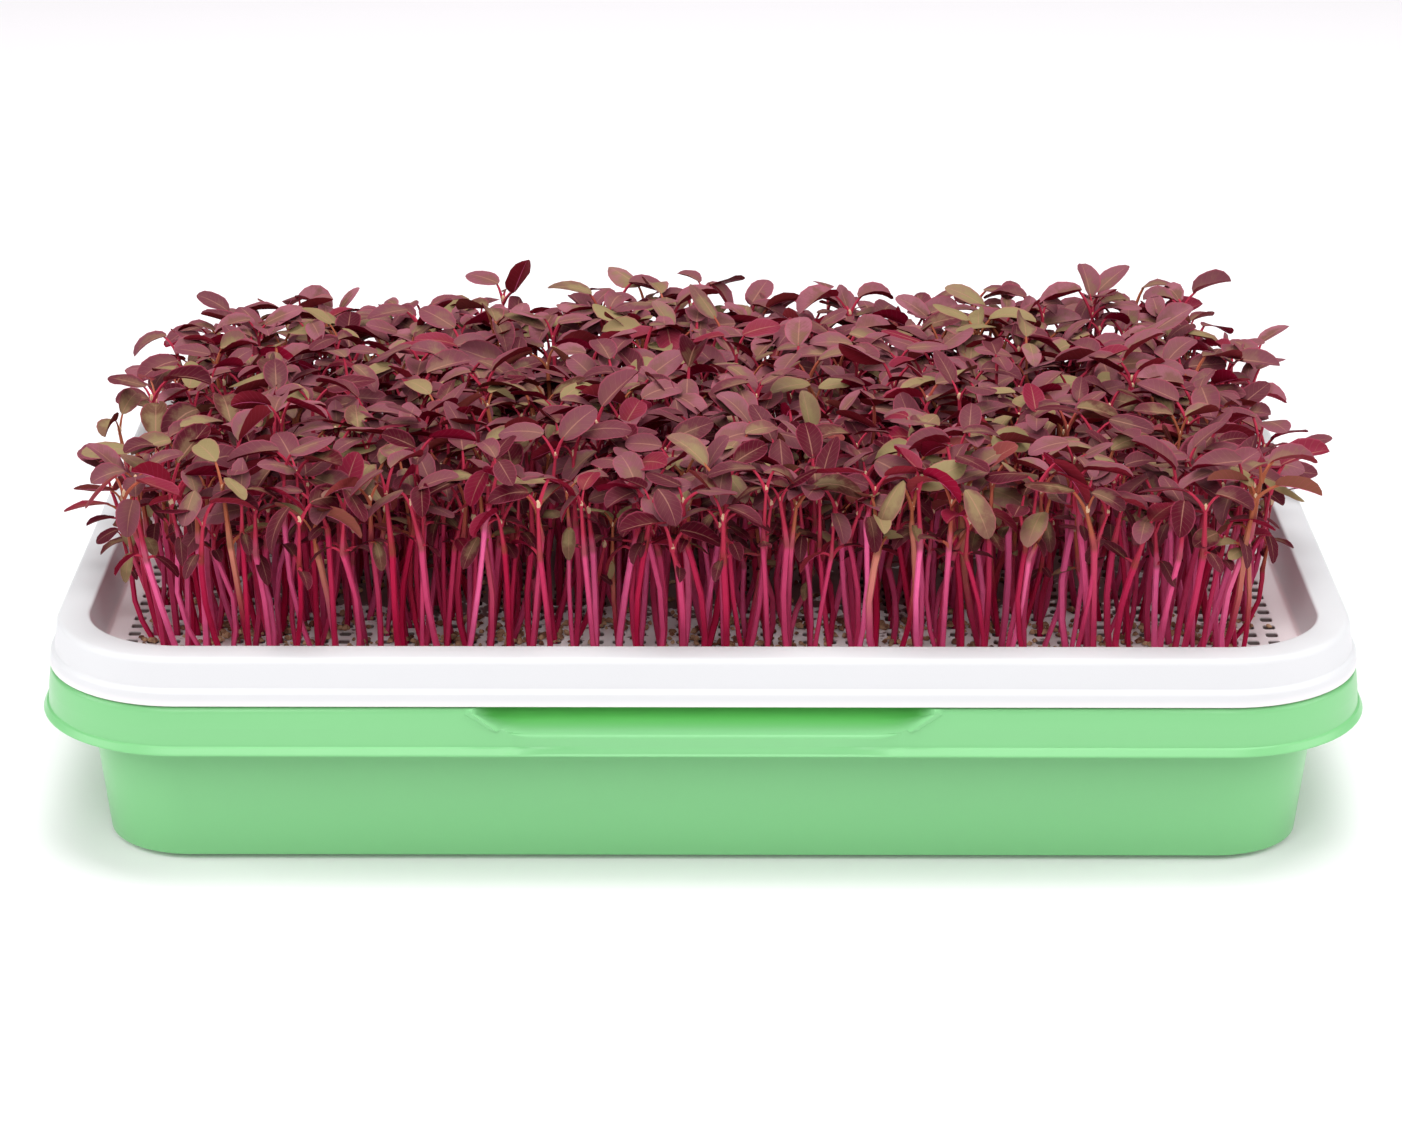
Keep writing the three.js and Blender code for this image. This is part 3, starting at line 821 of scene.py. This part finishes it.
# Each kind of leaf: where it grows, its turn from the plant's azimuth, its share of plants, its
# stalk's length and rise, its blade's length, width, first slope, bend, shoulder and taper, how
# much darker its leaves are painted for the shade they stand in, and whether its blade is a large one.
LEAF_KINDS = [
    ("node", 0.0, 0.55, (3.6, 0.55), (9.0, 3.6, 0.1, -0.7, 0.6, 0.62), 0.85, False),
    ("node", math.pi, 0.55, (3.6, 0.55), (9.0, 3.6, 0.1, -0.7, 0.6, 0.62), 0.85, False),
    ("tip", math.pi / 2, 1.0, (6.6, 1.05), (12.6, 7.0, 0.16, -0.5, 0.58, 0.6), 0.0, True),
    ("tip", -math.pi / 2, 1.0, (6.6, 1.05), (12.6, 7.0, 0.16, -0.5, 0.58, 0.6), 0.0, True),
    ("tip", 0.3, 0.15, (3.4, 1.1), (8.6, 4.6, 0.45, -0.7, 0.6, 0.62), 0.0, False),
]

# What sets single leaves apart: factors for their size, their stalk's length and their width, the
# spread in radians of their turn, stalk, slope, bend, roll and twist, the least bend, how deeply
# they are folded along the midrib, with its spread, and the most that their edges ripple.
LEAF_SIZE = (0.72, 1.14)
STALK_STRETCH = (0.8, 1.25)
WIDTH_STRETCH = (0.86, 1.12)
TURN_SPREAD = 0.25
STALK_SPREAD = 0.15
SLOPE_SPREAD = 0.3
BEND_SPREAD = 0.35
ROLL_SPREAD = 0.3
TWIST_SPREAD = 0.3
LEAST_BEND = -0.08
FOLD = (0.28, 0.28)
MOST_RIPPLE = 0.11


def leaf_set(plants, kind):
    """All leaves of one kind, as the arrays that blade_points reads, with their stalks' paths."""
    # dark is how much darker this kind's leaves are painted, for the shade that they stand in.
    origin_name, turn, share, (stalk, stalk_rise), blade, dark, large = kind
    length, width, rise, bend, shoulder, taper = blade
    kept = rng.uniform(0, 1, len(plants["foot"])) < share + (1 - share) * plants["screen"]
    count = int(kept.sum())
    size = rng.uniform(*LEAF_SIZE, count) * plants["size"][kept]
    azimuth = plants["azimuth"][kept] + turn + rng.normal(0, TURN_SPREAD, count)
    steep = stalk_rise + rng.normal(0, STALK_SPREAD, count)
    stalk_length = stalk * size * rng.uniform(*STALK_STRETCH, count)
    heading = np.column_stack([np.cos(azimuth), np.sin(azimuth)])
    origin = plants[origin_name][kept]
    origin[:, 2] -= 0.3
    end = origin + np.column_stack([heading * (stalk_length * np.cos(steep))[:, None],
                                    stalk_length * np.sin(steep)])
    bulge = (origin + end) / 2 + np.column_stack([heading * -0.5, np.full(count, 0.9)])
    steps = np.linspace(0, 1, 4)[None, :, None]
    path = (origin[:, None] * (1 - steps) ** 2 + bulge[:, None] * 2 * steps * (1 - steps)
            + end[:, None] * steps ** 2)
    slope = rise + TOWARD_LIGHT * np.sin(azimuth) + rng.normal(0, SLOPE_SPREAD, count)
    sunk = STALK_OVERLAP * np.column_stack([heading * np.cos(slope)[:, None], np.sin(slope)])
    leaf = {
        "root": end - sunk,
        "azimuth": azimuth,
        "length": length * size,
        "width": width * size * rng.uniform(*WIDTH_STRETCH, count),
        "rise": slope,
        "bend": np.minimum(bend + rng.normal(0, BEND_SPREAD, count), LEAST_BEND),
        "roll": rng.normal(0, ROLL_SPREAD, count),
        "twist": rng.normal(0, TWIST_SPREAD, count),
        "fold": rng.normal(*FOLD, count),
        "ripple": rng.uniform(0.0, MOST_RIPPLE, count),
        "phase": rng.uniform(0, 6.28, count),
        "shoulder": np.full(count, shoulder),
        "taper": np.full(count, taper),
        "olive": np.clip(plants["olive"][kept] + rng.normal(0, 0.1, count), 0, 1),
        # Painted shade: the small lower leaves and the late seedlings' leaves are darkened.
        "bright": ((1 - dark) * plants["shaded"][kept]
                   * np.clip(plants["bright"][kept] * 0.5 + rng.uniform(-0.12, 0.6, count), 0, 1)),
        "red": np.where(rng.uniform(0, 1, count) < CRIMSON_SHARE, CRIMSON_TINT,
                        rng.uniform(0, 0.12, count)),
        "row": plants["row"][kept],
    }
    radii = STALK_RADII * size[:, None]
    return {"leaf": leaf, "path": path, "radii": radii, "kept": kept, "large": large}


def paint(mesh, tints):
    """Stores one tint a point, in the order of the points."""
    layer = mesh.color_attributes.new("tint", "FLOAT_COLOR", "POINT")
    layer.data.foreach_set("color", np.asarray(tints, dtype=np.float32).ravel())


def repeat_faces(faces, count, stride, first=0):
    """The faces of one copy, repeated for every copy; all faces given have equal sizes."""
    faces = np.asarray(faces)
    return (first + faces[None] + (np.arange(count) * stride)[:, None, None]).reshape(-1, faces.shape[1])


def leaves_piece(row, sets, materials):
    """All blades of one row of bunches as one object."""
    points, tints, faces, uvs, material_index = [], [], [], [], []
    first = 0
    for large, (lengthwise, crosswise) in ((True, LARGE_BLADE), (False, SMALL_BLADE)):
        chosen = [{key: value[s["leaf"]["row"] == row] for key, value in s["leaf"].items()}
                  for s in sets if s["large"] == large]
        leaf = {key: np.concatenate([part[key] for part in chosen]) for key in chosen[0]}
        blade, places = blade_points(leaf, lengthwise, crosswise)
        count, stride = blade.shape[:2]
        for side, group in enumerate(blade_topology(lengthwise, crosswise)):
            for size in (3, 4):
                some = repeat_faces([face for face in group if len(face) == size], count, stride, first)
                faces += some.tolist()
                uvs.append(places[(some.ravel() - first) % stride])
                material_index += [side] * len(some)
        tint = np.stack([leaf["olive"], leaf["bright"], leaf["red"], np.ones(count)], axis=1)
        tints.append(np.repeat(tint, stride, axis=0))
        points.append(blade.reshape(-1, 3))
        first += count * stride
    piece = make_mesh(f"leaves_row_{row + 1}", np.concatenate(points), faces, 60.0)
    mesh = piece.data
    paint(mesh, np.concatenate(tints))
    blade_map = mesh.uv_layers.new(name="blade")
    blade_map.data.foreach_set("uv", np.concatenate(uvs).astype(np.float32).ravel())
    for material in materials:
        mesh.materials.append(material)
    mesh.polygons.foreach_set("material_index", material_index)
    bunches = [f"greens_bunch_{row * BUNCHES_IN_ROW + i + 1:02d}" for i in range(BUNCHES_IN_ROW)]
    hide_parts(*bunches)
    return piece


def tube_piece(name, groups, material):
    """Many tubes as one object. Each group is (centres, radii, sides, tints a tube and ring)."""
    points, faces, tints = [], [], []
    first = 0
    for centres, radii, sides, tint in groups:
        tube_points, quads, caps = tubes(centres, radii, sides)
        count, stride = tube_points.shape[:2]
        faces += repeat_faces(quads, count, stride, first).tolist()
        for cap in caps:
            faces += repeat_faces([cap], count, stride, first).tolist()
        points.append(tube_points.reshape(-1, 3))
        tints.append(np.repeat(tint, sides, axis=1).reshape(-1, 4))
        first += count * stride
    piece = make_mesh(name, np.concatenate(points), faces, 70.0)
    paint(piece.data, np.concatenate(tints))
    piece.data.materials.append(material)
    return piece


def stem_tints(plants, chosen, heights, bud=0.0):
    """Olive share, brightness, height along the stem and bud share, for every ring of every stem."""
    heights = np.array(heights)
    tint = np.ones((int(chosen.sum()), len(heights), 4))
    tint[:, :, 0] = plants["olive"][chosen][:, None]
    tint[:, :, 1] = 0.05 + 0.95 * plants["vivid"][chosen][:, None] ** 1.5
    tint[:, :, 2] = heights
    tint[:, :, 3] = bud
    return tint


# A bud's rings, as (height above the tip, radius).
BUD_RINGS = ((0.0, 0.3), (0.7, 0.62), (1.3, 0.5), (1.8, 0.16))


def bud_paths(plants, chosen):
    """The tiny unopened leaves in the fork of each shoot."""
    tip = plants["tip"][chosen]
    rise = np.array([ring[0] for ring in BUD_RINGS])
    size = rng.uniform(0.6, 1.25, (len(tip), 1))
    centres = np.repeat(tip[:, None], len(rise), axis=1)
    centres[:, :, 2] += rise * size
    return centres, np.array([ring[1] for ring in BUD_RINGS]) * size


def bed_of_greens():
    """All seedlings, as one piece of leaves and one of stems for each row of bunches, with the rest."""
    plants = grow_plants()
    sets = [leaf_set(plants, kind) for kind in LEAF_KINDS]
    centres, radii = stem_paths(plants)
    leaf_materials = (leaf_material("leaf_upper_side", True), leaf_material("leaf_underside", False))
    stem_skin = stem_material("stem_skin")
    pieces = []
    for row in range(CAD_ROWS):
        pieces.append(leaves_piece(row, sets, leaf_materials))
        chosen = plants["row"] == row
        groups = [(centres[chosen], radii[chosen], STEM_SIDES, stem_tints(plants, chosen, STEM_HEIGHTS))]
        for leaves in sets:
            here = leaves["leaf"]["row"] == row
            tint = stem_tints(plants, chosen & leaves["kept"], [1.0] * 4)
            groups.append((leaves["path"][here], leaves["radii"][here], STALK_SIDES, tint))
        bud_centres, bud_radii = bud_paths(plants, chosen)
        groups.append((bud_centres, bud_radii, STALK_SIDES, stem_tints(plants, chosen, [1.0] * 4, 1.0)))
        pieces.append(tube_piece(f"stems_row_{row + 1}", groups, stem_skin))
    pieces.append(root_mat(plants))
    pieces.append(seed_hulls(plants))
    return pieces


# A root thread: its drift sideways and the most of it, how deep it goes, and its radii.
ROOT_DRIFT = 4.0
ROOT_DRIFT_MOST = 6.0
ROOT_DROP = (5.0, 7.6)
ROOT_RADII = np.array([0.5, 0.42, 0.34, 0.2])
ROOT_SIDES = 3


def root_mat(plants):
    """White root threads, from every hole down and sideways towards the water."""
    foot = plants["foot"]
    count = len(foot)
    steps = np.linspace(0, 1, len(ROOT_RADII))
    drift = np.clip(rng.normal(0, ROOT_DRIFT, (count, 2)), -ROOT_DRIFT_MOST, ROOT_DRIFT_MOST)
    centres = np.empty((count, len(steps), 3))
    centres[:, :, :2] = foot[:, None] + drift[:, None] * steps[None, :, None] ** 1.5
    centres[:, :, 2] = FLOOR_UNDERSIDE - 0.4 - steps * rng.uniform(*ROOT_DROP, count)[:, None]
    radii = np.broadcast_to(ROOT_RADII, (count, len(steps)))
    tint = np.ones((count, len(steps), 4))
    root = dull_material("root_threads", ROOT_DARK, ROOT_LIGHT, 400.0)
    return tube_piece("root_mat", [(centres, radii, ROOT_SIDES, tint)], root)


# Split hulls: how many, the sides of each, their sizes and how far they lie from the stems.
HULL_COUNT = 2200
HULL_RING = 4
HULL_SIZE = (0.6, 1.5)
HULL_SPREAD = 2.3
# Hulls lie thickest in the strip of floor that shows under the leaves, from the front rim inwards.
HULL_STRIP = (-94.0, -62.0)
STRIP_WEIGHT = 9.0


def seed_hulls(plants):
    """Split hulls and crumbs that lie on the floor, most of them round the stems."""
    deep = plants["foot"][:, 1]
    weight = np.where((deep > HULL_STRIP[0]) & (deep < HULL_STRIP[1]), STRIP_WEIGHT, 1.0)
    foot = plants["foot"][rng.choice(len(weight), HULL_COUNT, p=weight / weight.sum())]
    where = foot + rng.normal(0, HULL_SPREAD, (HULL_COUNT, 2))
    ring = np.arange(HULL_RING) * 2 * math.pi / HULL_RING
    size = rng.uniform(*HULL_SIZE, HULL_COUNT)
    shape = [(0, 0, -0.6)]
    shape += [(math.cos(a), 0.75 * math.sin(a), -0.1) for a in ring]
    shape += [(0.55 * math.cos(a), 0.45 * math.sin(a), 0.5) for a in ring]
    shape += [(0, 0, 0.62)]
    shape = np.array(shape)
    jitter = 1 + rng.normal(0, 0.12, (HULL_COUNT, len(shape), 1))
    turn = rng.uniform(0, 2 * math.pi, HULL_COUNT)
    cos, sin = np.cos(turn)[:, None], np.sin(turn)[:, None]
    local = shape[None] * jitter * size[:, None, None]
    points = np.stack([
        where[:, :1] + local[:, :, 0] * cos - local[:, :, 1] * sin,
        where[:, 1:] + local[:, :, 0] * sin + local[:, :, 1] * cos,
        FLOOR_TOP + local[:, :, 2] + size[:, None] * 0.5,
    ], axis=2)
    last = 1 + 2 * HULL_RING
    triangles, quads = [], []
    for i in range(HULL_RING):
        low, low_next = 1 + i, 1 + (i + 1) % HULL_RING
        high, high_next = low + HULL_RING, low_next + HULL_RING
        triangles += [(0, low_next, low), (high, high_next, last)]
        quads.append((low, low_next, high_next, high))
    faces = [face for group in (triangles, quads)
             for face in repeat_faces(group, HULL_COUNT, len(shape)).tolist()]
    piece = make_mesh("seed_hulls", points.reshape(-1, 3), faces, 50.0)
    piece.data.materials.append(dull_material("seed_hull", HULL_DARK, HULL_LIGHT, 260.0))
    return piece


# ------------------------------------------------------------------ stage, light and camera

# The camera was fitted to the rims of both trays in the photo.
CAMERA_PITCH = math.radians(20.5)
CAMERA_PLACE = (-0.00117, -1.00889, 0.41838)
CAMERA_ROLL = -0.0015
CAMERA_LENS = 99.06
SENSOR_WIDTH = 36.0

FLOOR_HALF = 4.0
FLOOR_GLOW = 0.08
WORLD_STRENGTH = 0.04
# Each area light's name, place, size and power.
LIGHTS = [
    ("key", (-0.2, -1.8, 1.7), (1.9, 1.4), 36.0),
    ("overhead", (0.1, 0.1, 1.9), (1.6, 1.3), 37.0),
    ("left", (-1.7, -0.4, 0.9), (1.2, 1.2), 15.0),
    ("right", (1.7, -0.4, 0.9), (1.2, 1.2), 15.0),
]


def stage():
    """The pale floor that the tray stands on, with a faint glow so that it stays nearly white."""
    mesh = bpy.data.meshes.new("floor")
    corners = [(x * FLOOR_HALF, y * FLOOR_HALF, 0) for x, y in ((-1, -1), (1, -1), (1, 1), (-1, 1))]
    mesh.from_pydata(corners, [], [(0, 1, 2, 3)])
    floor = bpy.data.objects.new("floor", mesh)
    bpy.context.scene.collection.objects.link(floor)
    nodes = Nodes("pale_floor")
    nodes.set(Base_Color=FLOOR_PALE, Roughness=0.9, Specular_IOR_Level=0.1)
    nodes.set(Emission_Color=LAMP_WHITE, Emission_Strength=FLOOR_GLOW)
    mesh.materials.append(nodes.material)


def area_light(name, place, size, power, toward=(0, 0, 0.05)):
    light = bpy.data.lights.new(name, "AREA")
    light.shape = "RECTANGLE"
    light.size, light.size_y = size
    light.energy = power
    lamp = bpy.data.objects.new(name, light)
    lamp.location = place
    lamp.rotation_euler = (Vector(toward) - Vector(place)).to_track_quat("-Z", "Y").to_euler()
    bpy.context.scene.collection.objects.link(lamp)


def lights():
    world = bpy.data.worlds.new("studio")
    world.use_nodes = True
    background = world.node_tree.nodes["Background"]
    background.inputs["Color"].default_value = (*LAMP_WHITE, 1.0)
    background.inputs["Strength"].default_value = WORLD_STRENGTH
    bpy.context.scene.world = world
    for name, place, size, power in LIGHTS:
        area_light(name, place, size, power)


def camera():
    lens = bpy.data.cameras.new("camera")
    lens.sensor_width = SENSOR_WIDTH
    lens.lens = CAMERA_LENS
    eye = bpy.data.objects.new("camera", lens)
    eye.location = CAMERA_PLACE
    eye.rotation_euler = (math.pi / 2 - CAMERA_PITCH, CAMERA_ROLL, 0.0)
    bpy.context.scene.collection.objects.link(eye)
    bpy.context.scene.camera = eye
    bpy.context.scene.view_settings.view_transform = "Standard"


# ------------------------------------------------------------------ the whole scene

camera()
lights()
stage()
pieces = [water_tray(), seed_tray(), *bed_of_greens()]
for piece in pieces:
    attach(piece, "root")
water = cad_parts["water"]
water.data.materials.clear()
water.data.materials.append(water_material())
